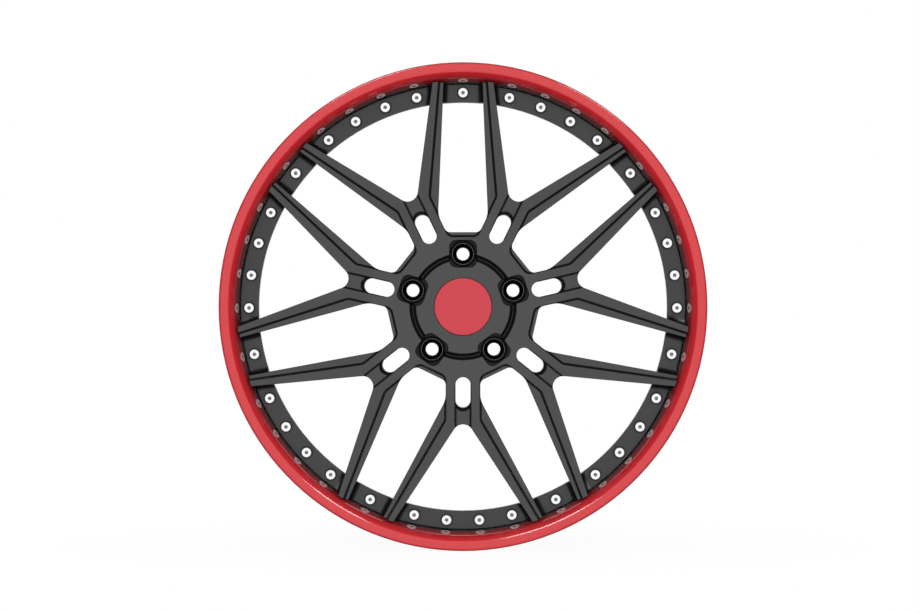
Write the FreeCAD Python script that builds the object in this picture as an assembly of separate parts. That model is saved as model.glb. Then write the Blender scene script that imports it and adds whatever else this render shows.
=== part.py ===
import FreeCAD, Part
import math
import os

os.makedirs("parts", exist_ok=True)

# Driving dimensions, millimetres and degrees

# Rim: bead seats for a 20 inch tyre, 9 inches between J flanges
BEAD_SEAT_RADIUS = 256.4
RIM_WIDTH = 228.6
FLANGE_HEIGHT = 17.3
FLANGE_WIDTH = 12.7
FLANGE_ROUNDING = 9.5
FLANGE_EDGE_RADIUS = 2.2
HEEL_RADIUS = 6.5
SEAT_TAPER = 5.0
SEAT_LENGTH = 20.0
HUMP_HEIGHT = 1.4
HUMP_RAMP = 3.0
HUMP_RADIUS = 4.0

# Bolted joint of the lip, the barrel and the centre
JOINT_DEPTH = 38.3
LIP_FLANGE_THICKNESS = 7.0
RING_THICKNESS = 12.0
RING_WIDTH = 20.5
RING_GAP = 1.0
JOINT_SETBACK = 2.0
JOINT_STEP = 0.25
SEAL_CHAMFER = 2.0
SEAL_CROWN = 0.8
BOLT_INSET = 9.85
BOLT_ARM_GAP = 15.537
FORK_BOLT_COUNT = 4
WINDOW_BOLT_ANGLE = 25.714

# Outer lip
LIP_WALL = 2.7
LIP_FLARE_DEPTH = 19.0
LIP_FLARE_WIDTH = 4.8
LIP_FLARE_RADIUS = 15.0
LIP_BREAK_DEPTH = 7.0
LIP_BREAK_ROUNDING = 5.0
LIP_SLOPE_WIDTH = 6.2
LIP_FACE_ROUNDING = 3.0
LIP_CORNER_RADIUS = 0.5

# Inner barrel
BARREL_WALL = 3.5
SEAT_WALL = 3.35
WELL_DEPTH = 17.3
WELL_WIDTH = 32.0
WELL_SETBACK = 26.0
WELL_SHOULDER = 16.0
WELL_RAMP_LENGTH = 24.0
LEDGE_DROP = 5.8
WELL_ROUNDING = 7.0
BARREL_FOOT = 10.0
BARREL_FACE_WIDTH = 11.7
VALVE_HOLE_RADIUS = 5.75
VALVE_SEAT_RADIUS = 9.0
VALVE_SEAT_DEPTH = 0.6
VALVE_ANGLE = 7.0

# Assembly bolts, M8 with flat round heads and a hexagon socket
BOLT_SHANK_RADIUS = 4.0
BOLT_THREAD_GAP = 0.05
BOLT_HOLE_RADIUS = 4.3
BOLT_LENGTH = 32.0
BOLT_HEAD_RADIUS = 6.8
BOLT_HEAD_HEIGHT = 4.6
BOLT_HEAD_EDGE = 0.6
BOLT_HEAD_TAPER = 0.2
BOLT_TIP_CHAMFER = 1.2
BOLT_SOCKET_WIDTH = 4.0
BOLT_SOCKET_DEPTH = 3.0
BOLT_HOLE_SPARE = 1.5

# Centre: seven forked spokes between a hub and the bolt ring
SPOKE_COUNT = 7
RING_EDGE_CHAMFER = 0.8
HUB_FACE_Z = 80.0
TIP_DEPTH = 8.0
TIP_REACH = 2.9
FACE_BREAK_RADIUS = 96.0
FACE_BREAK_ROUNDING = 150.0
MOUNT_FACE_Z = 30.0
MOUNT_PAD_RADIUS = 74.0
MOUNT_PAD_HEIGHT = 5.0
SPOKE_BACK_RADIUS = 92.0
SPOKE_BACK_Z = 41.0
SPOKE_BACK_ROUNDING = 25.0
RING_BACK_STEP = 4.5
WINDOW_FOOT_RADIUS = 9.5
FORK_FOOT_RADIUS = 8.0
FOOT_LAND = 1.0

# Window between two neighbouring forks
WINDOW_STEM_OFFSET = 19.6
WINDOW_HUB_EDGE = 84.4
WINDOW_HALF_AT_RIM = 22.9
WINDOW_HALF_AT_FORK = 27.9
WINDOW_RIM_STATION = 228.2
WINDOW_FORK_STATION = 113.3
WINDOW_HUB_ROUNDING = 7.5
WINDOW_FORK_ROUNDING = 28.0

# Raised face around that window, and the lower ledge inside it
RAISED_STEM_OFFSET = 21.0
RAISED_HUB_EDGE = 80.9
RAISED_HALF_AT_RIM = 26.6
RAISED_HALF_AT_FORK = 35.7
RAISED_RIM_STATION = 241.5
RAISED_FORK_STATION = 135.8
RAISED_HUB_ROUNDING = 7.0
RAISED_FORK_ROUNDING = 8.0
LEDGE_STEP = 3.6
LEDGE_CHAMFER = 2.3

# Window inside a fork, slot in its stem and recessed web between them
FORK_APEX = 123.4
FORK_HALF_ANGLE = 33.5
FORK_BOTTOM_RADIUS = 12.1
SLOT_HALF_WIDTH = 8.5
SLOT_INNER_END = 79.9
SLOT_OUTER_END = 114.6
WEB_HALF_WIDTH = 7.7
WEB_STEP = 5.0
WEB_CHAMFER = 1.9

# Hub
HUB_BORE_RADIUS = 36.3
HUB_BORE_LENGTH = 24.0
GROOVE_INNER_RADIUS = 53.2
GROOVE_OUTER_RADIUS = 60.7
GROOVE_DEPTH = 6.5
GROOVE_FLOOR_WIDTH = 0.5
LUG_COUNT = 5
LUG_CIRCLE_RADIUS = 60.0
LUG_HOLE_RADIUS = 7.25
LUG_POCKET_WIDTH = 31.0
LUG_POCKET_ROUNDING = 8.0
LUG_POCKET_DEPTH = 4.5
LUG_BORE_RADIUS = 15.0
LUG_BORE_DEPTH = 21.0
LUG_LAND_OUTER_RADIUS = 12.8
LUG_LAND_INNER_RADIUS = 11.7
LUG_LAND_HEIGHT = 2.0
LUG_SEAT_ANGLE = 30.0
PAD_POCKET_INNER_RADIUS = 46.0
PAD_POCKET_OUTER_RADIUS = 69.0
PAD_POCKET_INNER_ANGLE = 12.0
PAD_POCKET_OUTER_ANGLE = 14.5
PAD_POCKET_ROUNDING = 4.0
PAD_POCKET_DEPTH = 12.0

# Centre cap and the spring wire that spreads its tabs
CAP_RADIUS = 32.4
CAP_GAP = 0.3
CAP_THICKNESS = 3.2
CAP_EDGE_RADIUS = 0.6
CAP_THROAT_RADIUS = 29.6
CAP_THROAT_LENGTH = 11.0
CAP_RELIEF_RADIUS = 33.0
CAP_TAB_WALL = 2.0
CAP_TAB_HOOK = 1.3
CAP_TAB_HOOK_LENGTH = 3.6
CAP_TAB_COUNT = 6
CAP_TAB_SPACE = 9.0
WIRE_RADIUS = 0.8
WIRE_OPENING = 30.0

# Derived sizes
HALF_WIDTH = RIM_WIDTH / 2
FRONT_Z = HALF_WIDTH + FLANGE_WIDTH
JOINT_Z = HALF_WIDTH - JOINT_DEPTH
TIP_Z = FRONT_Z - TIP_DEPTH
FLARE_Z = FRONT_Z - LIP_FLARE_DEPTH
RIM_RADIUS = BEAD_SEAT_RADIUS + FLANGE_HEIGHT
SEAT_TOE_RADIUS = BEAD_SEAT_RADIUS - SEAT_LENGTH * math.tan(math.radians(SEAT_TAPER))
LIP_WALL_RADIUS = SEAT_TOE_RADIUS - LIP_WALL
LIP_BREAK_RADIUS = LIP_WALL_RADIUS + LIP_FLARE_WIDTH
LIP_FACE_INNER_RADIUS = LIP_BREAK_RADIUS + LIP_SLOPE_WIDTH
JOINT_OUTER_RADIUS = SEAT_TOE_RADIUS - JOINT_STEP
RING_OUTER_RADIUS = LIP_WALL_RADIUS - RING_GAP
RING_INNER_RADIUS = RING_OUTER_RADIUS - RING_WIDTH
RING_BACK_RADIUS = RING_INNER_RADIUS - RING_BACK_STEP
JOINT_INNER_RADIUS = RING_INNER_RADIUS + JOINT_SETBACK
BOLT_CIRCLE_RADIUS = RING_OUTER_RADIUS - BOLT_INSET
TIP_RADIUS = RING_OUTER_RADIUS + TIP_REACH
SEAT_INNER_RADIUS = SEAT_TOE_RADIUS - SEAT_WALL
WELL_RADIUS = BEAD_SEAT_RADIUS - WELL_DEPTH
LEDGE_RADIUS = BEAD_SEAT_RADIUS - LEDGE_DROP
BARREL_FACE_INNER_RADIUS = RIM_RADIUS - BARREL_FACE_WIDTH
WELL_OUTBOARD_Z = JOINT_Z - WELL_SETBACK
WELL_OUTBOARD_TOP_Z = WELL_OUTBOARD_Z + WELL_SHOULDER
WELL_INBOARD_Z = WELL_OUTBOARD_Z - WELL_WIDTH
BARREL_FLANGE_FOOT_Z = WELL_OUTBOARD_Z + BARREL_FOOT
RING_BACK_Z = JOINT_Z + LIP_FLANGE_THICKNESS
RING_FRONT_Z = RING_BACK_Z + RING_THICKNESS
HALF_PITCH = 180 / SPOKE_COUNT
FACE_SLOPE = (TIP_Z - HUB_FACE_Z) / (TIP_RADIUS - FACE_BREAK_RADIUS)
CAP_SEAT_Z = HUB_FACE_Z - CAP_THICKNESS - CAP_GAP
CAP_THROAT_Z = CAP_SEAT_Z - CAP_THROAT_LENGTH
LUG_FLOOR_Z = HUB_FACE_Z - LUG_BORE_DEPTH
OUTSIDE = RIM_RADIUS + 20
EDGE_MATCH = 1e-3
AXIS = FreeCAD.Vector(0, 0, 1)
CENTRE = FreeCAD.Vector(0, 0, 0)


def in_section(r, z):
    return FreeCAD.Vector(r, 0, z)


def in_plan(x, y):
    return FreeCAD.Vector(x, y, 0)


def outline(corners, place):
    """Closed wire through corners (a, b) or (a, b, radius), arcs at the rounded ones."""
    ends = []
    for i, corner in enumerate(corners):
        here = place(corner[0], corner[1])
        before = (place(*corners[i - 1][:2]) - here).normalize()
        after = (place(*corners[(i + 1) % len(corners)][:2]) - here).normalize()
        radius = corner[2] if len(corner) > 2 else 0
        if radius:
            half = before.getAngle(after) / 2
            reach = radius / math.tan(half)
            middle = here + (before + after).normalize() * (radius / math.sin(half) - radius)
            ends.append((here + before * reach, middle, here + after * reach))
        else:
            ends.append((here, None, here))
    edges = []
    for i, (start, middle, stop) in enumerate(ends):
        last = ends[i - 1][2]
        if (start - last).Length > 1e-6:
            edges.append(Part.makeLine(last, start))
        if middle:
            edges.append(Part.Arc(start, middle, stop).toShape())
    return Part.Wire(edges)


def turned(corners):
    """Solid of revolution about the wheel's axis from a section (radius, height), begun at the top."""
    solid = Part.Face(outline(corners, in_section)).revolve(CENTRE, AXIS, 360)
    return solid.rotated(CENTRE, AXIS, 90)


def prism(corners, bottom, top):
    """Straight solid over an outline in the wheel's plane."""
    flat = Part.Face(outline(corners, in_plan))
    flat.translate(FreeCAD.Vector(0, 0, bottom))
    return flat.extrude(FreeCAD.Vector(0, 0, top - bottom))


def around(shape, count, first=0.0):
    """Copies of a shape turned about the wheel's axis, first one at an angle from the top."""
    copies = []
    for i in range(count):
        copies.append(shape.rotated(CENTRE, AXIS, -first - i * 360 / count))
    return copies


def mirrored_outline(side):
    """Outline symmetric about the y axis from the corners of its right side."""
    left = [(-corner[0],) + tuple(corner[1:]) for corner in reversed(side)]
    return list(side) + left


def meet(start, along, other, other_along):
    """Crossing point of two lines in a plane, each a point and a direction."""
    cross = along[0] * other_along[1] - along[1] * other_along[0]
    gap = (other[0] - start[0], other[1] - start[1])
    reach = (gap[0] * other_along[1] - gap[1] * other_along[0]) / cross
    return (start[0] + along[0] * reach, start[1] + along[1] * reach)


# Rim halves

def tyre_side(end):
    """Flange, bead seat and hump of one rim edge, end +1 outboard or -1 inboard."""
    toe = HALF_WIDTH - SEAT_LENGTH
    hump = SEAT_TOE_RADIUS + HUMP_HEIGHT
    corners = [
        (RIM_RADIUS, FRONT_Z, FLANGE_EDGE_RADIUS),
        (RIM_RADIUS, HALF_WIDTH, FLANGE_ROUNDING),
        (BEAD_SEAT_RADIUS, HALF_WIDTH, HEEL_RADIUS),
        (SEAT_TOE_RADIUS, toe, HUMP_RADIUS),
        (hump, toe - HUMP_RAMP, HUMP_RADIUS),
        (hump, toe - 2 * HUMP_RAMP, HUMP_RADIUS),
    ]
    return [(r, end * z, radius) for r, z, radius in corners]


def make_outer_lip():
    hump_end = HALF_WIDTH - SEAT_LENGTH - 3 * HUMP_RAMP
    corners = tyre_side(1) + [
        (JOINT_OUTER_RADIUS, hump_end, HUMP_RADIUS),
        (JOINT_OUTER_RADIUS, JOINT_Z + SEAL_CHAMFER),
        (JOINT_OUTER_RADIUS - SEAL_CHAMFER, JOINT_Z),
        (JOINT_INNER_RADIUS, JOINT_Z),
        (JOINT_INNER_RADIUS, RING_BACK_Z),
        (LIP_WALL_RADIUS, RING_BACK_Z, LIP_CORNER_RADIUS),
        (LIP_WALL_RADIUS, FLARE_Z, LIP_FLARE_RADIUS),
        (LIP_BREAK_RADIUS, FRONT_Z - LIP_BREAK_DEPTH, LIP_BREAK_ROUNDING),
        (LIP_FACE_INNER_RADIUS, FRONT_Z, LIP_FACE_ROUNDING),
    ]
    return turned(corners).cut(bolt_cylinders(BOLT_HOLE_RADIUS, JOINT_Z, RING_BACK_Z))


def make_inner_barrel():
    ramp_foot = (WELL_RADIUS, WELL_INBOARD_Z)
    ramp_top = (LEDGE_RADIUS, WELL_INBOARD_Z - WELL_RAMP_LENGTH)
    ramp = (ramp_top[0] - ramp_foot[0], ramp_top[1] - ramp_foot[1])
    ramp_length = math.hypot(*ramp)
    inward = (ramp[1] / ramp_length, -ramp[0] / ramp_length)
    inner_foot = (ramp_foot[0] + inward[0] * BARREL_WALL, ramp_foot[1] + inward[1] * BARREL_WALL)
    well_inside = (WELL_RADIUS - BARREL_WALL, 0)
    ledge_inside = (LEDGE_RADIUS - BARREL_WALL, 0)
    well_corner = meet(inner_foot, ramp, well_inside, (0, 1))
    ledge_corner = meet(inner_foot, ramp, ledge_inside, (0, 1))
    toe = HALF_WIDTH - SEAT_LENGTH
    corners = [
        (JOINT_INNER_RADIUS, JOINT_Z),
        (JOINT_OUTER_RADIUS - SEAL_CHAMFER, JOINT_Z),
        (JOINT_OUTER_RADIUS, JOINT_Z - SEAL_CHAMFER),
        (JOINT_OUTER_RADIUS, WELL_OUTBOARD_TOP_Z, HUMP_RADIUS),
        (WELL_RADIUS, WELL_OUTBOARD_Z, WELL_ROUNDING),
        ramp_foot + (WELL_ROUNDING,),
        ramp_top + (WELL_ROUNDING,),
        (LEDGE_RADIUS, 4 * HUMP_RAMP - toe, HUMP_RADIUS),
    ]
    corners += list(reversed(tyre_side(-1)))
    corners += [
        (BARREL_FACE_INNER_RADIUS, -FRONT_Z, LIP_FACE_ROUNDING),
        (SEAT_INNER_RADIUS, -HALF_WIDTH, LIP_FLARE_RADIUS),
        (SEAT_INNER_RADIUS, -toe, HUMP_RADIUS),
        (ledge_inside[0], 4 * HUMP_RAMP - toe, HUMP_RADIUS),
        ledge_corner + (WELL_ROUNDING,),
        well_corner + (WELL_ROUNDING,),
        (well_inside[0], WELL_OUTBOARD_Z, WELL_ROUNDING),
        (JOINT_INNER_RADIUS, BARREL_FLANGE_FOOT_Z, HUMP_RADIUS),
    ]
    barrel = turned(corners)
    thread = BOLT_SHANK_RADIUS + BOLT_THREAD_GAP
    bolt_end = RING_FRONT_Z - BOLT_LENGTH - BOLT_HOLE_SPARE
    barrel = barrel.cut(bolt_cylinders(thread, bolt_end, JOINT_Z))
    middle = FreeCAD.Vector((ramp_foot[0] + ramp_top[0]) / 2, 0, (ramp_foot[1] + ramp_top[1]) / 2)
    outward = FreeCAD.Vector(-inward[0], 0, -inward[1])
    through = 4 * BARREL_WALL
    hole = Part.makeCylinder(VALVE_HOLE_RADIUS, 2 * through, middle - outward * through, outward)
    seat = middle - outward * VALVE_SEAT_DEPTH
    spot = Part.makeCylinder(VALVE_SEAT_RADIUS, through, seat, outward)
    back = middle - outward * (BARREL_WALL - VALVE_SEAT_DEPTH)
    back_spot = Part.makeCylinder(VALVE_SEAT_RADIUS, through, back, outward * -1)
    for cutter in (hole, spot, back_spot):
        barrel = barrel.cut(cutter.rotated(CENTRE, AXIS, 90 - VALVE_ANGLE))
    return barrel


def make_rim_seal():
    crown = JOINT_OUTER_RADIUS + SEAL_CROWN
    return turned([
        (JOINT_OUTER_RADIUS - SEAL_CHAMFER, JOINT_Z),
        (JOINT_OUTER_RADIUS, JOINT_Z - SEAL_CHAMFER),
        (crown, JOINT_Z - SEAL_CHAMFER, SEAL_CROWN / 2),
        (crown, JOINT_Z + SEAL_CHAMFER, SEAL_CROWN / 2),
        (JOINT_OUTER_RADIUS, JOINT_Z + SEAL_CHAMFER),
    ])


# Assembly bolts

def bolt_places():
    """Angle from the top of every assembly bolt: a row inside each fork and one between two forks."""
    arm = math.radians(FORK_HALF_ANGLE)
    arm_distance = FORK_APEX * math.sin(arm) + BOLT_ARM_GAP
    widest = math.degrees(arm - math.asin(arm_distance / BOLT_CIRCLE_RADIUS))
    spacing = 2 * widest / (FORK_BOLT_COUNT - 1)
    row = [i * spacing - widest for i in range(FORK_BOLT_COUNT)]
    places = []
    for i in range(SPOKE_COUNT):
        for angle in row + [WINDOW_BOLT_ANGLE]:
            places.append(HALF_PITCH + i * 2 * HALF_PITCH + angle)
    return places


def at_bolts(shape):
    """Copies of a shape made on the axis, moved out to every assembly bolt."""
    out = shape.translated(FreeCAD.Vector(0, BOLT_CIRCLE_RADIUS, 0))
    return [out.rotated(CENTRE, AXIS, -angle) for angle in bolt_places()]


def bolt_cylinders(radius, bottom, top):
    cylinder = Part.makeCylinder(radius, top - bottom, FreeCAD.Vector(0, 0, bottom))
    return Part.makeCompound(at_bolts(cylinder))


def make_assembly_bolts():
    foot = RING_FRONT_Z - BOLT_LENGTH
    head_top = RING_FRONT_Z + BOLT_HEAD_HEIGHT
    tip = BOLT_SHANK_RADIUS - BOLT_TIP_CHAMFER
    bolt = turned([
        (0, foot),
        (tip, foot),
        (BOLT_SHANK_RADIUS, foot + BOLT_TIP_CHAMFER),
        (BOLT_SHANK_RADIUS, RING_FRONT_Z),
        (BOLT_HEAD_RADIUS, RING_FRONT_Z),
        (BOLT_HEAD_RADIUS - BOLT_HEAD_TAPER, head_top, BOLT_HEAD_EDGE),
        (0, head_top),
    ])
    corner = BOLT_SOCKET_WIDTH / 2 / math.cos(math.radians(30))
    hexagon = []
    for i in range(6):
        turn = math.radians(60 * i)
        hexagon.append((corner * math.sin(turn), corner * math.cos(turn)))
    bolt = bolt.cut(prism(hexagon, head_top - BOLT_SOCKET_DEPTH, head_top))
    return Part.makeCompound(at_bolts(bolt))


# Centre

def face_corners(drop):
    """Front face of the centre from the axis outwards, lowered by a drop."""
    end = OUTSIDE - FACE_BREAK_RADIUS
    return [
        (0, HUB_FACE_Z - drop),
        (FACE_BREAK_RADIUS, HUB_FACE_Z - drop, FACE_BREAK_ROUNDING),
        (OUTSIDE, HUB_FACE_Z + FACE_SLOPE * end - drop),
    ]


def under_face(drop):
    """Everything below the front face lowered by a drop."""
    return turned([(OUTSIDE, 0), (0, 0)] + face_corners(drop))


def window_outline(stem_offset, hub_edge, rim_half, rim_station, fork_half, fork_station, roundings):
    """Opening between two forks, centred on the y axis and open past the rim."""
    turn = math.radians(HALF_PITCH)
    stem = (-stem_offset * math.cos(turn), stem_offset * math.sin(turn))
    stem_along = (math.sin(turn), math.cos(turn))
    arm = (rim_half, rim_station)
    arm_along = (fork_half - rim_half, fork_station - rim_station)
    hub_corner = meet(stem, stem_along, (0, hub_edge), (1, 0))
    fork_corner = meet(stem, stem_along, arm, arm_along)
    rim_corner = meet(arm, arm_along, (0, OUTSIDE), (1, 0))
    side = [rim_corner, fork_corner + (roundings[1],), hub_corner + (roundings[0],)]
    return mirrored_outline(side)


def fork_width(station):
    """Half width of the window inside a fork at a station along the spoke."""
    return (station - FORK_APEX) * math.tan(math.radians(FORK_HALF_ANGLE))


def make_blank():
    return turned([
        (0, MOUNT_FACE_Z),
        (MOUNT_PAD_RADIUS, MOUNT_FACE_Z),
        (MOUNT_PAD_RADIUS, MOUNT_FACE_Z + MOUNT_PAD_HEIGHT),
        (SPOKE_BACK_RADIUS, SPOKE_BACK_Z, SPOKE_BACK_ROUNDING),
        (RING_BACK_RADIUS, RING_BACK_Z),
        (RING_OUTER_RADIUS - RING_EDGE_CHAMFER, RING_BACK_Z),
        (RING_OUTER_RADIUS, RING_BACK_Z + RING_EDGE_CHAMFER),
        (RING_OUTER_RADIUS, FLARE_Z),
        (TIP_RADIUS, TIP_Z),
        (FACE_BREAK_RADIUS, HUB_FACE_Z, FACE_BREAK_ROUNDING),
        (0, HUB_FACE_Z),
    ])


def through_cutter(corners):
    """Opening inside the bolt ring, together with the space in front of the ring."""
    inside_ring = Part.makeCylinder(RING_INNER_RADIUS, OUTSIDE)
    in_front = Part.makeCylinder(OUTSIDE, OUTSIDE, FreeCAD.Vector(0, 0, RING_FRONT_Z))
    return prism(corners, 0, OUTSIDE).common(inside_ring.fuse(in_front))


def window_cutter():
    corners = window_outline(
        WINDOW_STEM_OFFSET, WINDOW_HUB_EDGE, WINDOW_HALF_AT_RIM, WINDOW_RIM_STATION,
        WINDOW_HALF_AT_FORK, WINDOW_FORK_STATION, (WINDOW_HUB_ROUNDING, WINDOW_FORK_ROUNDING))
    return through_cutter(corners)


def fork_cutter():
    far = fork_width(OUTSIDE)
    return through_cutter([(far, OUTSIDE), (0, FORK_APEX, FORK_BOTTOM_RADIUS), (-far, OUTSIDE)])


def ledge_cutter():
    """Lower ledge along the arms and the hub, around the window between two forks."""
    corners = window_outline(
        RAISED_STEM_OFFSET, RAISED_HUB_EDGE, RAISED_HALF_AT_RIM, RAISED_RIM_STATION,
        RAISED_HALF_AT_FORK, RAISED_FORK_STATION, (RAISED_HUB_ROUNDING, RAISED_FORK_ROUNDING))
    return prism(corners, 0, OUTSIDE).cut(under_face(LEDGE_STEP))


def web_cutter():
    """Recess over the web that joins the two arms of a fork."""
    top = FORK_APEX + 2 * FORK_BOTTOM_RADIUS
    start = SLOT_INNER_END + SLOT_HALF_WIDTH
    web = prism(mirrored_outline([(WEB_HALF_WIDTH, top), (WEB_HALF_WIDTH, start)]), 0, OUTSIDE)
    return web.cut(under_face(WEB_STEP))


def slot_cutter():
    return prism(mirrored_outline([
        (SLOT_HALF_WIDTH, SLOT_OUTER_END, SLOT_HALF_WIDTH),
        (SLOT_HALF_WIDTH, SLOT_INNER_END, SLOT_HALF_WIDTH)]), 0, OUTSIDE)


def face_height(r):
    """Height of the front face at a radius."""
    slope = math.atan(FACE_SLOPE)
    reach = FACE_BREAK_ROUNDING * math.tan(slope / 2)
    start = FACE_BREAK_RADIUS - reach
    if r < start:
        return HUB_FACE_Z
    if r > FACE_BREAK_RADIUS + reach * math.cos(slope):
        return HUB_FACE_Z + FACE_SLOPE * (r - FACE_BREAK_RADIUS)
    return HUB_FACE_Z + FACE_BREAK_ROUNDING - math.sqrt(FACE_BREAK_ROUNDING ** 2 - (r - start) ** 2)


def middle_of(edge):
    return edge.valueAt((edge.FirstParameter + edge.LastParameter) / 2)


def added_edges(after, before):
    """Edges of a shape that were not there before it was cut."""
    known = [middle_of(edge) for edge in before.Edges]
    added = []
    for edge in after.Edges:
        middle = middle_of(edge)
        if all((middle - other).Length > EDGE_MATCH for other in known):
            added.append(edge)
    return added


def on_face(edge):
    """True for an edge in the front face that does not just follow the rim."""
    middle = middle_of(edge)
    start = edge.valueAt(edge.FirstParameter)
    r = math.hypot(middle.x, middle.y)
    follows_rim = abs(math.hypot(start.x, start.y) - r) < EDGE_MATCH
    return abs(middle.z - face_height(r)) < EDGE_MATCH and not follows_rim


def on_ring(edge):
    """True for a straight edge lying on the front of the bolt ring."""
    box = edge.BoundBox
    level = abs(box.ZMin - RING_FRONT_Z) + abs(box.ZMax - RING_FRONT_Z)
    return level < EDGE_MATCH and isinstance(edge.Curve, Part.Line)


def lower_face(disc, cutters, chamfer, shortest):
    """Recesses in the front face, chamfered along their upper edges over a shortest length."""
    lowered = disc.cut(cutters)
    edges = [edge for edge in added_edges(lowered, disc) if on_face(edge) and edge.Length > shortest]
    return lowered.makeChamfer(chamfer, edges)


def open_disc(disc, cutters, foot_radius):
    """Openings through the disc, with fillets within the arms' straight walls over the bolt ring."""
    opened = disc.cut(cutters)
    feet = [edge for edge in added_edges(opened, disc) if on_ring(edge)]
    wall = FLARE_Z - RING_FRONT_Z - FOOT_LAND
    return opened.makeFillet(min(foot_radius, wall), feet)


def cut_spokes(disc):
    """Ledges, webs, windows, slots and forks between the hub and the rim."""
    disc = lower_face(disc, around(ledge_cutter(), SPOKE_COUNT), LEDGE_CHAMFER, 0)
    webs = around(web_cutter(), SPOKE_COUNT, HALF_PITCH)
    disc = lower_face(disc, webs, WEB_CHAMFER, 2 * WEB_HALF_WIDTH + EDGE_MATCH)
    disc = open_disc(disc, around(window_cutter(), SPOKE_COUNT), WINDOW_FOOT_RADIUS)
    disc = disc.cut(around(slot_cutter(), SPOKE_COUNT, HALF_PITCH))
    return open_disc(disc, around(fork_cutter(), SPOKE_COUNT, HALF_PITCH), FORK_FOOT_RADIUS)


def lug_cutters():
    """Rounded square pocket, round bore with a raised land, cone seat and bolt hole."""
    half = LUG_POCKET_WIDTH / 2
    inner, outer = LUG_CIRCLE_RADIUS - half, LUG_CIRCLE_RADIUS + half
    side = [(half, outer, LUG_POCKET_ROUNDING), (half, inner, LUG_POCKET_ROUNDING)]
    pocket = prism(mirrored_outline(side), HUB_FACE_Z - LUG_POCKET_DEPTH, OUTSIDE)
    land_z = LUG_FLOOR_Z + LUG_LAND_HEIGHT
    seat_depth = (LUG_LAND_INNER_RADIUS - LUG_HOLE_RADIUS) / math.tan(math.radians(LUG_SEAT_ANGLE))
    bore = turned([
        (0, MOUNT_FACE_Z),
        (LUG_HOLE_RADIUS, MOUNT_FACE_Z),
        (LUG_HOLE_RADIUS, land_z - seat_depth),
        (LUG_LAND_INNER_RADIUS, land_z),
        (LUG_LAND_OUTER_RADIUS, land_z),
        (LUG_LAND_OUTER_RADIUS, LUG_FLOOR_Z),
        (LUG_BORE_RADIUS, LUG_FLOOR_Z),
        (LUG_BORE_RADIUS, HUB_FACE_Z),
        (0, HUB_FACE_Z),
    ])
    bore.translate(FreeCAD.Vector(0, LUG_CIRCLE_RADIUS, 0))
    return around(pocket, LUG_COUNT) + around(bore, LUG_COUNT)


def pad_pockets():
    """Lightening pockets in the mounting pad, between the bolt holes."""
    side = []
    for r, angle in ((PAD_POCKET_OUTER_RADIUS, PAD_POCKET_OUTER_ANGLE),
                     (PAD_POCKET_INNER_RADIUS, PAD_POCKET_INNER_ANGLE)):
        turn = math.radians(angle)
        side.append((r * math.sin(turn), r * math.cos(turn), PAD_POCKET_ROUNDING))
    pocket = prism(mirrored_outline(side), 0, MOUNT_FACE_Z + PAD_POCKET_DEPTH)
    return around(pocket, LUG_COUNT, 180 / LUG_COUNT)


def cut_hub(disc):
    """Bore for the car's hub, seat of the centre cap, face groove and wheel bolt holes."""
    groove_z = HUB_FACE_Z - GROOVE_DEPTH
    groove_middle = (GROOVE_INNER_RADIUS + GROOVE_OUTER_RADIUS) / 2
    groove = turned([
        (GROOVE_INNER_RADIUS, HUB_FACE_Z),
        (groove_middle - GROOVE_FLOOR_WIDTH / 2, groove_z),
        (groove_middle + GROOVE_FLOOR_WIDTH / 2, groove_z),
        (GROOVE_OUTER_RADIUS, HUB_FACE_Z),
    ])
    bore_end = MOUNT_FACE_Z + HUB_BORE_LENGTH
    bore = turned([
        (0, MOUNT_FACE_Z),
        (HUB_BORE_RADIUS, MOUNT_FACE_Z),
        (HUB_BORE_RADIUS, bore_end),
        (CAP_RELIEF_RADIUS, bore_end),
        (CAP_RELIEF_RADIUS, CAP_THROAT_Z),
        (CAP_THROAT_RADIUS, CAP_THROAT_Z),
        (CAP_THROAT_RADIUS, CAP_SEAT_Z),
        (CAP_RADIUS + CAP_GAP, CAP_SEAT_Z),
        (CAP_RADIUS + CAP_GAP, HUB_FACE_Z),
        (0, HUB_FACE_Z),
    ])
    return disc.cut([groove, bore] + lug_cutters() + pad_pockets())


def make_centre_disc():
    disc = cut_spokes(make_blank())
    disc = disc.cut(bolt_cylinders(BOLT_HOLE_RADIUS, RING_BACK_Z, RING_FRONT_Z))
    return cut_hub(disc)


# Centre cap

def wire_ring(angle):
    """Spring wire ring inside the cap's tabs, swept through an angle."""
    r = CAP_THROAT_RADIUS - CAP_GAP - CAP_TAB_WALL - WIRE_RADIUS / 2
    z = CAP_THROAT_Z - CAP_GAP - CAP_TAB_HOOK_LENGTH / 2
    section = Part.makeCircle(WIRE_RADIUS, in_section(r, z), FreeCAD.Vector(0, 1, 0))
    return Part.Face(Part.Wire(section)).revolve(CENTRE, AXIS, angle)


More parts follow.
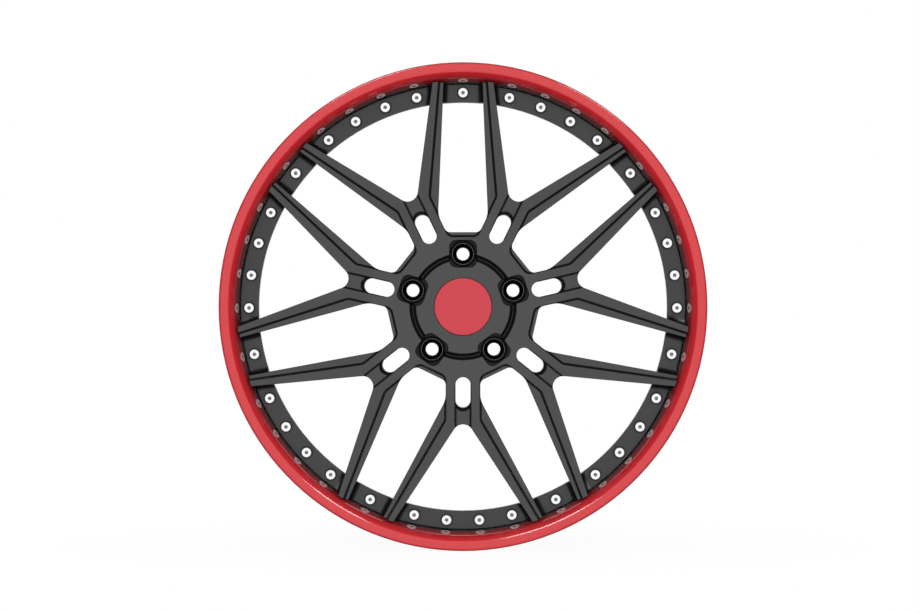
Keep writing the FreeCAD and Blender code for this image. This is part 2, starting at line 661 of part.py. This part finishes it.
def make_centre_cap():
    top = CAP_SEAT_Z + CAP_THICKNESS
    tab_outer = CAP_THROAT_RADIUS - CAP_GAP
    tab_inner = tab_outer - CAP_TAB_WALL
    hook_top = CAP_THROAT_Z - CAP_GAP
    hook_foot = hook_top - CAP_TAB_HOOK_LENGTH
    cap = turned([
        (0, top),
        (0, CAP_SEAT_Z),
        (tab_inner, CAP_SEAT_Z),
        (tab_inner, hook_foot),
        (tab_outer, hook_foot),
        (tab_outer + CAP_TAB_HOOK, hook_top - CAP_TAB_HOOK / 2),
        (tab_outer + CAP_TAB_HOOK, hook_top),
        (tab_outer, hook_top),
        (tab_outer, CAP_SEAT_Z),
        (CAP_RADIUS, CAP_SEAT_Z),
        (CAP_RADIUS, top, CAP_EDGE_RADIUS),
    ])
    half = CAP_TAB_SPACE / 2
    inside = tab_inner - CAP_TAB_WALL
    space = prism(mirrored_outline([(half, CAP_RADIUS), (half, inside)]), 0, CAP_SEAT_Z - CAP_GAP)
    return cap.cut(around(space, CAP_TAB_COUNT) + [wire_ring(360)])


def make_cap_spring():
    return wire_ring(360 - WIRE_OPENING)


def export(shape, name):
    """Turn the wheel upright, its face to -Y and its axle along Y, and write it."""
    upright = shape.rotated(CENTRE, FreeCAD.Vector(1, 0, 0), 90)
    upright.exportStep("parts/" + name + ".step")


PIECES = {
    "centre_disc": make_centre_disc,
    "outer_lip": make_outer_lip,
    "inner_barrel": make_inner_barrel,
    "rim_seal": make_rim_seal,
    "assembly_bolts": make_assembly_bolts,
    "centre_cap": make_centre_cap,
    "cap_spring": make_cap_spring,
}

for name, make in PIECES.items():
    export(make(), name)
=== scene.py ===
import math

import bpy
from mathutils import Matrix, Vector


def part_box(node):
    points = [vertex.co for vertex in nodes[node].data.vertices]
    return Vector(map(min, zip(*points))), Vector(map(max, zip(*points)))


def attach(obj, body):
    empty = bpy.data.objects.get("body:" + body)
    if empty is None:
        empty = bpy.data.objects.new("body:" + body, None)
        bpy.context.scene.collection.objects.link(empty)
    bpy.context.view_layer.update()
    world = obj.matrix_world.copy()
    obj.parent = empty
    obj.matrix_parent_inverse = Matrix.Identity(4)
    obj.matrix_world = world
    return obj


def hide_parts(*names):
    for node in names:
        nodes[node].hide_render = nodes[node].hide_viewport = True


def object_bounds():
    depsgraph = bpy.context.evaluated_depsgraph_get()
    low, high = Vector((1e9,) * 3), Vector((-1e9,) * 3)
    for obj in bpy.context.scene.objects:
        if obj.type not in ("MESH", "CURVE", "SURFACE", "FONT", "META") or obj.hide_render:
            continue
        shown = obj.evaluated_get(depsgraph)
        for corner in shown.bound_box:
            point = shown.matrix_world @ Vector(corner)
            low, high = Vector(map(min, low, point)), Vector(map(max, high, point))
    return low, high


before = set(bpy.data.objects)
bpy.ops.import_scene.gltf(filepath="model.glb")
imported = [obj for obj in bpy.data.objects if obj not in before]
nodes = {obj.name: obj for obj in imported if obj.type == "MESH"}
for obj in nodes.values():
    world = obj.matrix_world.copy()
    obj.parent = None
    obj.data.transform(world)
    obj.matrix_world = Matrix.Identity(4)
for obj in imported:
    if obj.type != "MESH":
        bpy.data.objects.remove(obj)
cad_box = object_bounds()

# Lengths in metres, angles in degrees, the axle along Y and the wheel's face towards -Y

RIM_FACE = cad_box[0][1]
FLOOR_HEIGHT = cad_box[0][2]
FRONT = Vector((0.0, -1.0, 0.0))

# Camera, with the wheel's shift from the middle of the picture in pixels

VIEW_DISTANCE = 4.0
VIEW_WIDTH = 1.0296
SENSOR_WIDTH = 36.0
FAR_CLIP = 100.0
IMAGE_WIDTH = 920
WHEEL_RIGHT_OF_MIDDLE = 3.0
WHEEL_ABOVE_MIDDLE = -0.15

# Studio: shares of a direction mark where its zones start and where they are full

FLOOR_SIZE = 1.4
FLOOR_WHITE = 0.96
SHADOW_NEAR = 0.1
SHADOW_FAR = 0.5
FRONT_EDGE = 0.50
FRONT_FULL = 0.82
ABOVE_BACK_EDGE = 0.10
ABOVE_BACK_FULL = 0.30
ABOVE_EDGE = 0.3
ABOVE_FULL = 0.6
SIDE_LIGHT = 0.02
FRONT_LAMP_PLACE = Vector((0.0, -5.0, 1.2))
FRONT_LAMP_SIZE = 3.0
FRONT_LAMP_POWER = 150.0
STRIP_DISTANCE = 3.0
STRIP_LENGTH = 2.4
STRIP_TILT = 52.0
STRIP_RADIANCE = 10.0
RIGHT_STRIP_TURN = 32.5
RIGHT_STRIP_SPREAD = 15.0
LEFT_STRIP_TURN = -22.5
LEFT_STRIP_SPREAD = 21.0

# Spoked centre

SPOKE_COUNT = 7
HUB_FACE = -0.0800
RING_FACE = -0.0950
RING_INNER_RADIUS = 0.2304
EDGE_BREAK = 0.0013
LEVEL = 0.0003

# Pockets of the wheel bolts

LUG_COUNT = 5
LUG_CIRCLE = 0.060
LUG_POCKET_HALF = 0.0158
LUG_POCKET_SQUARENESS = 6.0
LUG_POCKET_FLOOR = -0.0755
LUG_LAND = -0.0610
LUG_LAND_RADIUS = 0.0116

# Chamfers at the outer ends of the slots

SLOT_END_CENTRE = 0.1061
SLOT_HALF_WIDTH = 0.0085
WEB_HALF_WIDTH = 0.0078
CHAMFER_FOOT = 0.0750
CHAMFER_TOP = 0.0840
CHAMFER_UNDERCUT = 0.0016
CHAMFER_SIDES = 128
MERGE_GAP = 1e-6
SHARP_ANGLE = 30.0

# Heads of the assembly bolts: a row in each fork, and one bolt between two forks

BOLT_HEAD_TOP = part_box("assembly_bolts")[0][1]
BOLT_CIRCLE = 0.2411
BOLT_SPACING = 8.8
BOLT_FACE_RADIUS = 0.0050

# Outer lip: joint with the bolt ring, inner wall, flare and front corner

LIP_JOINT_RADIUS = 0.2522
LIP_WALL_END = 0.2530
LIP_FLARE_START = 0.108
LIP_FLARE_RATE = 0.4
LIP_FLARE_END = 0.2575
LIP_RIM_START = 0.2709
LIP_RIM_FULL = 0.2714
LIP_CORNER_RADIUS = 0.2729
LIP_CORNER_DEPTH = 0.0025
LIP_CORNER_FADE = 0.0005
LIP_ROUNDING = 0.005

# Colours

WHITE = (1.0, 1.0, 1.0)
CENTRE_GREYS = (0.080, 0.080, 0.081), (0.104, 0.104, 0.106)
# Painted shade on the bolt ring under the lip and in the wheel bolt pockets, a little lighter on their
# floors; a painted highlight in grey on the land round each bore
RING_SHADE_GREY = (0.066, 0.066, 0.067)
POCKET_SHADE_BLACK = (0.008, 0.008, 0.008)
POCKET_FLOOR_SHADE_BLACK = (0.018, 0.018, 0.018)
LAND_HIGHLIGHT_GREY = (0.16, 0.16, 0.16)
LIP_REDS = (0.56, 0.016, 0.024), (0.66, 0.026, 0.034)
# Painted shade on the lip: dark red on its front corner and inner wall, black in the gap at the bolt ring
LIP_CORNER_SHADE_RED = (0.16, 0.012, 0.018)
LIP_WALL_SHADE_RED = (0.10, 0.012, 0.014)
LIP_GAP_SHADE_BLACK = (0.012, 0.008, 0.008)
BARREL_BLACKS = (0.016, 0.016, 0.017), (0.026, 0.026, 0.027)
BOLT_BRIGHTS = (0.94, 0.94, 0.95), (0.99, 0.99, 0.99)
# Painted shade on the assembly bolts: dark round the rim of each face, grey in the sockets and on the
# sides
BOLT_RIM_SHADE_GREY = (0.05, 0.05, 0.05)
BOLT_SIDE_SHADE_GREY = (0.18, 0.18, 0.18)
SPRING_GREYS = (0.50, 0.50, 0.51), (0.64, 0.64, 0.65)
CAP_REDS = (0.52, 0.030, 0.045), (0.60, 0.042, 0.058)
SEALANT_GREYS = (0.03, 0.03, 0.03), (0.06, 0.06, 0.06)
FLOOR_GREYS = (0.90, 0.90, 0.90), (0.93, 0.93, 0.93)


class Value:
    """A number that varies over a surface, with ordinary arithmetic."""

    def __init__(self, owner, socket):
        self.owner = owner
        self.socket = socket

    def math(self, operation, *others):
        inputs = dict(enumerate((self,) + others))
        return self.owner.node("ShaderNodeMath", {"operation": operation}, inputs)

    def __add__(self, other):
        return self.math("ADD", other)

    def __radd__(self, other):
        return self.math("ADD", other)

    def __sub__(self, other):
        return self.math("SUBTRACT", other)

    def __rsub__(self, other):
        return (self * -1.0).math("ADD", other)

    def __mul__(self, other):
        return self.math("MULTIPLY", other)

    def __rmul__(self, other):
        return self.math("MULTIPLY", other)

    def __truediv__(self, other):
        return self.math("DIVIDE", other)

    def __pow__(self, other):
        return self.math("POWER", other)

    def __neg__(self):
        return self * -1.0

    def __abs__(self):
        return self.math("ABSOLUTE")

    def step(self, start, stop):
        """0 below start, 1 above stop, straight between."""
        return ((self - start) / (stop - start)).math("MINIMUM", 1.0).math("MAXIMUM", 0.0)

    def near(self, level, reach):
        """1 within reach of a level, 0 past twice that."""
        return 1.0 - abs(self - level).step(reach, 2 * reach)


class Nodes:
    """Shader nodes of a material or of the world."""

    def __init__(self, tree):
        self.tree = tree

    def node(self, kind, settings=None, inputs=None, output=0):
        made = self.tree.nodes.new(kind)
        for key, value in (settings or {}).items():
            setattr(made, key, value)
        for key, value in (inputs or {}).items():
            self.feed(made.inputs[key], value)
        return Value(self, made.outputs[output])

    def feed(self, socket, value):
        if isinstance(value, Value):
            self.tree.links.new(value.socket, socket)
        elif socket.type == "RGBA":
            socket.default_value = (*value, 1.0)
        else:
            socket.default_value = value

    def parts(self, vector):
        """The three parts of a vector."""
        first = self.node("ShaderNodeSeparateXYZ", {}, {0: vector})
        return [Value(self, output) for output in first.socket.node.outputs]

    def ray(self, kind):
        """1 for one kind of ray, such as the camera's, and 0 for the others."""
        return self.node("ShaderNodeLightPath", output=f"Is {kind} Ray")


class Paint(Nodes):
    """One procedural material built on a principled surface."""

    def __init__(self, name):
        self.material = bpy.data.materials.new(name)
        self.material.use_nodes = True
        super().__init__(self.material.node_tree)
        self.surface = self.tree.nodes["Principled BSDF"]
        self.output = self.tree.nodes["Material Output"]

    def set(self, **sockets):
        for key, value in sockets.items():
            self.feed(self.surface.inputs[key.replace("_", " ")], value)

    def place(self):
        """Object coordinates: right, inboard and up."""
        return self.parts(self.node("ShaderNodeTexCoord", output="Object"))

    def noise(self, scale, detail):
        spot = self.node("ShaderNodeTexCoord", output="Object")
        return self.node("ShaderNodeTexNoise", {}, {"Vector": spot, "Scale": scale, "Detail": detail})

    def blend(self, factor, first, second):
        """Colour between two colours."""
        return self.node("ShaderNodeMix", {"data_type": "RGBA"}, {0: factor, 6: first, 7: second}, 2)

    def grain(self, height, strength, depth, edge_break):
        """Fine unevenness of a coat, over edges that are broken by a small radius."""
        edges = self.node("ShaderNodeBevel", {"samples": 8}, {"Radius": edge_break})
        bump = self.node(
            "ShaderNodeBump", {},
            {"Strength": strength, "Distance": depth, "Height": height, "Normal": edges})
        self.set(Normal=bump)


def distance(first, second):
    """Length of the slanting side over two square ones."""
    return (first * first + second * second) ** 0.5


def turn_in_pattern(right, up, count):
    """Angle from the nearest of some equal turns round the axle, the first of them at the top."""
    pitch = 2 * math.pi / count
    turn = right.math("ARCTAN2", up) + pitch / 2
    return turn.math("FLOORED_MODULO", pitch) - pitch / 2


def from_centre(turn, radius, circle):
    """Place seen from a centre at no turn on a circle: across and along the line from the axle."""
    return turn.math("SINE") * radius, turn.math("COSINE") * radius - circle


# Finishes

def centre_paint():
    """Satin dark grey metallic coat, with painted shade: gloss black inside the wheel bolt pockets, a
    little lighter on their floors, and darker on the bolt ring under the lip; a painted highlight in grey
    on the land round each bore.
    """
    paint = Paint("centre_paint")
    right, inboard, up = paint.place()
    radius = distance(right, up)
    # Painted shade in the wheel bolt pockets, with a painted highlight on the land round each bore
    turn = turn_in_pattern(right, up, LUG_COUNT)
    across, along = from_centre(turn, radius, LUG_CIRCLE)
    squareness = LUG_POCKET_SQUARENESS
    reach = (abs(across) ** squareness + abs(along) ** squareness) ** (1 / squareness)
    in_pocket = 1.0 - reach.step(LUG_POCKET_HALF, LUG_POCKET_HALF + LEVEL)
    pocket = in_pocket * (inboard - HUB_FACE).step(LEVEL, 2 * LEVEL)
    land = distance(across, along).step(LUG_LAND_RADIUS, LUG_LAND_RADIUS + LEVEL)
    land = land * inboard.near(LUG_LAND, LEVEL)
    # Painted shade on the bolt ring under the lip
    ring = radius.step(RING_INNER_RADIUS, RING_INNER_RADIUS + LEVEL)
    ring = ring * inboard.step(RING_FACE - 2 * LEVEL, RING_FACE - LEVEL)
    cloud = paint.noise(scale=9.0, detail=3.0)
    speck = paint.noise(scale=1400.0, detail=1.0)
    grey = paint.blend(cloud * 0.10 + speck * 0.14 + 0.38, *CENTRE_GREYS)
    grey = paint.blend(ring * 0.8, grey, RING_SHADE_GREY)
    pocket_floor = inboard.near(LUG_POCKET_FLOOR, LEVEL)
    black = paint.blend(pocket_floor, POCKET_SHADE_BLACK, POCKET_FLOOR_SHADE_BLACK)
    black = paint.blend(land, black, LAND_HIGHLIGHT_GREY)
    paint.set(
        Base_Color=paint.blend(pocket, grey, black),
        Roughness=0.34 + cloud * 0.06 - pocket * 0.1,
        Metallic=0.96)
    paint.grain(speck, strength=0.05, depth=0.0001, edge_break=EDGE_BREAK)
    return paint.material


def lip_paint():
    """Gloss red paint under hard lacquer, with painted shade: dark red on the inner wall near the bolt
    ring and on the front corner, black in the gap at the bolt ring.
    """
    paint = Paint("lip_paint")
    cloud = paint.noise(scale=6.0, detail=2.0)
    speck = paint.noise(scale=900.0, detail=1.0)
    right, inboard, up = paint.place()
    radius = distance(right, up)
    flare = (-inboard - LIP_FLARE_START).math("MAXIMUM", 0.0) * LIP_FLARE_RATE
    wall = 1.0 - (radius - flare).step(LIP_WALL_END, LIP_WALL_END + 2 * LEVEL)
    # Painted shade on the inner wall, and black painted shade in the gap at the bolt ring
    wall_shade = wall * (1.0 - radius.step(LIP_JOINT_RADIUS, LIP_FLARE_END))
    gap_shade = 1.0 - radius.step(LIP_JOINT_RADIUS, LIP_JOINT_RADIUS + LEVEL)
    rim = radius.step(LIP_RIM_START, LIP_RIM_FULL)
    # Painted shade on the front corner
    corner_end = RIM_FACE + LIP_CORNER_DEPTH
    corner = 1.0 - inboard.step(corner_end, corner_end + LIP_CORNER_FADE)
    corner = corner * radius.step(LIP_CORNER_RADIUS, LIP_CORNER_RADIUS + LEVEL)
    red = paint.blend(cloud * 0.5 + speck * 0.3, *LIP_REDS)
    red = paint.blend(corner, red, LIP_CORNER_SHADE_RED)
    red = paint.blend(wall_shade * 0.9, red, LIP_WALL_SHADE_RED)
    paint.set(
        Base_Color=paint.blend(gap_shade, red, LIP_GAP_SHADE_BLACK),
        Roughness=0.36 + cloud * 0.05,
        Specular_IOR_Level=0.1,
        Coat_Weight=0.17 + wall * 0.83 - rim * 0.08,
        Coat_Roughness=0.03,
        Coat_IOR=3.4)
    paint.grain(paint.noise(scale=160.0, detail=1.0), strength=0.02, depth=0.0002, edge_break=LIP_ROUNDING)
    return paint.material


def barrel_paint():
    """Satin black coat of the hidden rim half."""
    paint = Paint("barrel_paint")
    cloud = paint.noise(scale=12.0, detail=3.0)
    speck = paint.noise(scale=1200.0, detail=1.0)
    paint.set(Base_Color=paint.blend(cloud, *BARREL_BLACKS), Roughness=0.38 + cloud * 0.10)
    paint.grain(speck, strength=0.05, depth=0.0001, edge_break=EDGE_BREAK / 2)
    return paint.material


def bolt_steel():
    """Bright flat heads, with painted shade: a dark rim round each face, and grey down in their sockets
    and on their sides.
    """
    paint = Paint("bolt_steel")
    right, inboard, up = paint.place()
    radius = distance(right, up)
    turn = abs(turn_in_pattern(right, up, SPOKE_COUNT))
    fork_middle = math.pi / SPOKE_COUNT
    spacing = math.radians(BOLT_SPACING)
    # Painted shade round the edge of each bolt face
    rim = 1.0
    for bolt_turn in (0.0, fork_middle - spacing / 2, fork_middle - spacing * 3 / 2):
        across, along = from_centre(turn - bolt_turn, radius, BOLT_CIRCLE)
        rim = rim * distance(across, along).step(BOLT_FACE_RADIUS, BOLT_FACE_RADIUS + LEVEL)
    # Painted shade down in the sockets and on the sides of the heads
    below = (inboard - BOLT_HEAD_TOP).step(LEVEL, 2 * LEVEL)
    cloud = paint.noise(scale=300.0, detail=2.0)
    bright = paint.blend(cloud, *BOLT_BRIGHTS)
    head = paint.blend(rim, bright, BOLT_RIM_SHADE_GREY)
    paint.set(
        Base_Color=paint.blend(below, head, BOLT_SIDE_SHADE_GREY),
        Metallic=1.0,
        Roughness=0.16 + cloud * 0.08)
    return paint.material


def spring_steel():
    """Plain drawn wire."""
    paint = Paint("spring_steel")
    cloud = paint.noise(scale=500.0, detail=2.0)
    paint.set(
        Base_Color=paint.blend(cloud, *SPRING_GREYS),
        Metallic=1.0,
        Roughness=0.25 + cloud * 0.1)
    return paint.material


def cap_red():
    """Satin red plastic."""
    paint = Paint("cap_red")
    cloud = paint.noise(scale=40.0, detail=2.0)
    speck = paint.noise(scale=2200.0, detail=1.0)
    paint.set(
        Base_Color=paint.blend(cloud * 0.6 + speck * 0.3, *CAP_REDS),
        Roughness=0.40 + cloud * 0.06)
    paint.grain(speck, strength=0.04, depth=0.0001, edge_break=EDGE_BREAK / 4)
    return paint.material


def sealant():
    """Dull dark rubber, a little uneven."""
    paint = Paint("sealant")
    cloud = paint.noise(scale=120.0, detail=3.0)
    paint.set(Base_Color=paint.blend(cloud, *SEALANT_GREYS), Roughness=0.6 + cloud * 0.2)
    paint.grain(cloud, strength=0.2, depth=0.0004, edge_break=EDGE_BREAK / 4)
    return paint.material


FINISHES = {
    "centre_disc": centre_paint,
    "outer_lip": lip_paint,
    "inner_barrel": barrel_paint,
    "assembly_bolts": bolt_steel,
    "rim_seal": sealant,
    "centre_cap": cap_red,
    "cap_spring": spring_steel,
}


# Spoked centre

def slot_chamfer_tools():
    """Cones between the walls of a web, at the outer end of each slot in the spokes' stems."""
    bpy.ops.object.select_all(action="DESELECT")
    depth = CHAMFER_TOP - CHAMFER_FOOT
    foot_radius = SLOT_HALF_WIDTH - CHAMFER_UNDERCUT
    middle = (CHAMFER_TOP + CHAMFER_FOOT) / 2
    bpy.ops.mesh.primitive_cone_add(
        vertices=CHAMFER_SIDES, radius1=foot_radius, radius2=foot_radius + depth, depth=depth,
        location=(0.0, -middle, SLOT_END_CENTRE), rotation=(math.pi / 2, 0.0, 0.0))
    tools = bpy.context.object
    bpy.ops.object.transform_apply(location=True, rotation=True, scale=True)
    bpy.ops.object.mode_set(mode="EDIT")
    for side in (-1, 1):
        bpy.ops.mesh.select_all(action="SELECT")
        bpy.ops.mesh.bisect(
            plane_co=(side * WEB_HALF_WIDTH, 0.0, 0.0), plane_no=(side, 0.0, 0.0),
            use_fill=True, clear_outer=True)
    bpy.ops.object.mode_set(mode="OBJECT")
    tools.data.transform(Matrix.Rotation(math.pi / SPOKE_COUNT, 4, "Y"))
    for i in range(1, SPOKE_COUNT):
        copy = bpy.data.objects.new("slot_tool", tools.data.copy())
        copy.data.transform(Matrix.Rotation(2 * math.pi * i / SPOKE_COUNT, 4, "Y"))
        bpy.context.scene.collection.objects.link(copy)
        copy.select_set(True)
    bpy.ops.object.join()
    return tools


def chamfered_centre():
    """The spoked centre with a chamfer at the outer end of each slot, in place of the plain one."""
    tools = slot_chamfer_tools()
    centre = bpy.data.objects.new("spoked_centre", nodes["centre_disc"].data.copy())
    bpy.context.scene.collection.objects.link(centre)
    bpy.ops.object.select_all(action="DESELECT")
    bpy.context.view_layer.objects.active = centre
    centre.select_set(True)
    bpy.ops.mesh.customdata_custom_splitnormals_clear()
    bpy.ops.object.mode_set(mode="EDIT")
    bpy.ops.mesh.select_all(action="SELECT")
    bpy.ops.mesh.remove_doubles(threshold=MERGE_GAP)
    bpy.ops.object.mode_set(mode="OBJECT")
    cut = centre.modifiers.new("slot_chamfers", "BOOLEAN")
    cut.operation = "DIFFERENCE"
    cut.solver = "EXACT"
    cut.object = tools
    bpy.ops.object.modifier_apply(modifier=cut.name)
    bpy.data.objects.remove(tools)
    bpy.ops.object.shade_smooth_by_angle(angle=math.radians(SHARP_ANGLE))
    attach(centre, "root")
    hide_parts("centre_disc")
    return centre


def paint_pieces():
    pieces = dict(nodes)
    pieces["centre_disc"] = chamfered_centre()
    for name, finish in FINISHES.items():
        coats = pieces[name].data.materials
        coats.clear()
        coats.append(finish())


# Studio

def make_floor():
    """White floor that shows a faint shadow under the wheel, and neither shades nor mirrors in it."""
    bpy.ops.mesh.primitive_plane_add(size=FLOOR_SIZE, location=(0.0, 0.0, FLOOR_HEIGHT))
    floor = bpy.context.object
    floor.name = "floor"
    paint = Paint("floor")
    paint.set(Base_Color=paint.blend(paint.noise(scale=3.0, detail=2.0), *FLOOR_GREYS), Roughness=0.8)
    right, inboard = paint.place()[:2]
    away = distance(right, inboard).step(SHADOW_NEAR, SHADOW_FAR)
    white = paint.ray("Camera") * (FLOOR_WHITE + away * (1.0 - FLOOR_WHITE))
    lit = Value(paint, paint.surface.outputs[0])
    glow = paint.node("ShaderNodeEmission", {}, {"Color": WHITE, "Strength": 1.0})
    mixed = paint.node("ShaderNodeMixShader", {}, {0: white, 1: lit, 2: glow})
    paint.feed(paint.output.inputs["Surface"], mixed)
    floor.data.materials.append(paint.material)
    floor.visible_shadow = False
    floor.visible_diffuse = False
    floor.visible_glossy = False


def make_world():
    """White for the eye, a wide soft front light, dark sides and a white backdrop in reflections."""
    world = bpy.data.worlds.new("studio")
    bpy.context.scene.world = world
    world.use_nodes = True
    studio = Nodes(world.node_tree)
    inboard, up = studio.parts(studio.node("ShaderNodeTexCoord", output="Generated"))[1:]
    front = (-inboard).step(FRONT_EDGE, FRONT_FULL)
    above = inboard.step(ABOVE_BACK_EDGE, ABOVE_BACK_FULL) * up.step(ABOVE_EDGE, ABOVE_FULL)
    mirrored = above * studio.ray("Glossy").math("MAXIMUM", studio.ray("Transmission"))
    behind = inboard.step(FRONT_EDGE, FRONT_FULL).math("MAXIMUM", mirrored)
    light = (front + behind) * (1.0 - SIDE_LIGHT) + SIDE_LIGHT
    ground = world.node_tree.nodes["Background"]
    studio.feed(ground.inputs["Color"], WHITE)
    studio.feed(ground.inputs["Strength"], studio.ray("Camera").math("MAXIMUM", light))


def add_front_lamp():
    """Large soft lamp over the camera that doesn't show in reflections."""
    bpy.ops.object.light_add(type="AREA", location=FRONT_LAMP_PLACE)
    lamp = bpy.context.object
    lamp.name = "front_lamp"
    lamp.data.shape = "DISK"
    lamp.data.size = FRONT_LAMP_SIZE
    lamp.data.energy = FRONT_LAMP_POWER
    lamp.rotation_euler = (-FRONT_LAMP_PLACE).to_track_quat("-Z", "Y").to_euler()
    lamp.visible_camera = False
    lamp.visible_glossy = False


def add_strip(name, turn, spread):
    """Tall strip lamp in front of the wheel, turned from the top, that shows only in the lip's lacquer."""
    turn = math.radians(turn)
    tilt = math.radians(STRIP_TILT)
    outward = Vector((math.sin(turn), 0.0, math.cos(turn)))
    place = FRONT * math.cos(tilt) + outward * math.sin(tilt)
    along = outward * math.cos(tilt) - FRONT * math.sin(tilt)
    width = STRIP_DISTANCE * math.sin(tilt) * math.radians(spread)
    bpy.ops.object.light_add(type="AREA", location=place * STRIP_DISTANCE)
    lamp = bpy.context.object
    lamp.name = name
    lamp.rotation_euler = Matrix((along.cross(place), along, place)).transposed().to_euler()
    lamp.data.shape = "RECTANGLE"
    lamp.data.size = width
    lamp.data.size_y = STRIP_LENGTH
    lamp.data.energy = STRIP_RADIANCE * math.pi * width * STRIP_LENGTH
    lamp.visible_camera = False
    lamp.visible_diffuse = False
    lit = bpy.data.collections.new(name)
    lit.objects.link(nodes["outer_lip"])
    lamp.light_linking.receiver_collection = lit


def make_camera():
    """Long lens straight in front of the wheel."""
    data = bpy.data.cameras.new("camera")
    data.sensor_width = SENSOR_WIDTH
    data.lens = SENSOR_WIDTH * VIEW_DISTANCE / VIEW_WIDTH
    data.shift_x = -WHEEL_RIGHT_OF_MIDDLE / IMAGE_WIDTH
    data.shift_y = -WHEEL_ABOVE_MIDDLE / IMAGE_WIDTH
    data.clip_end = FAR_CLIP
    camera = bpy.data.objects.new("camera", data)
    camera.location = (0.0, RIM_FACE - VIEW_DISTANCE, 0.0)
    camera.rotation_euler = (math.pi / 2, 0.0, 0.0)
    bpy.context.scene.collection.objects.link(camera)
    bpy.context.scene.camera = camera


paint_pieces()
make_floor()
make_world()
add_front_lamp()
add_strip("right_strip", RIGHT_STRIP_TURN, RIGHT_STRIP_SPREAD)
add_strip("left_strip", LEFT_STRIP_TURN, LEFT_STRIP_SPREAD)
make_camera()
bpy.context.scene.view_settings.view_transform = "Standard"
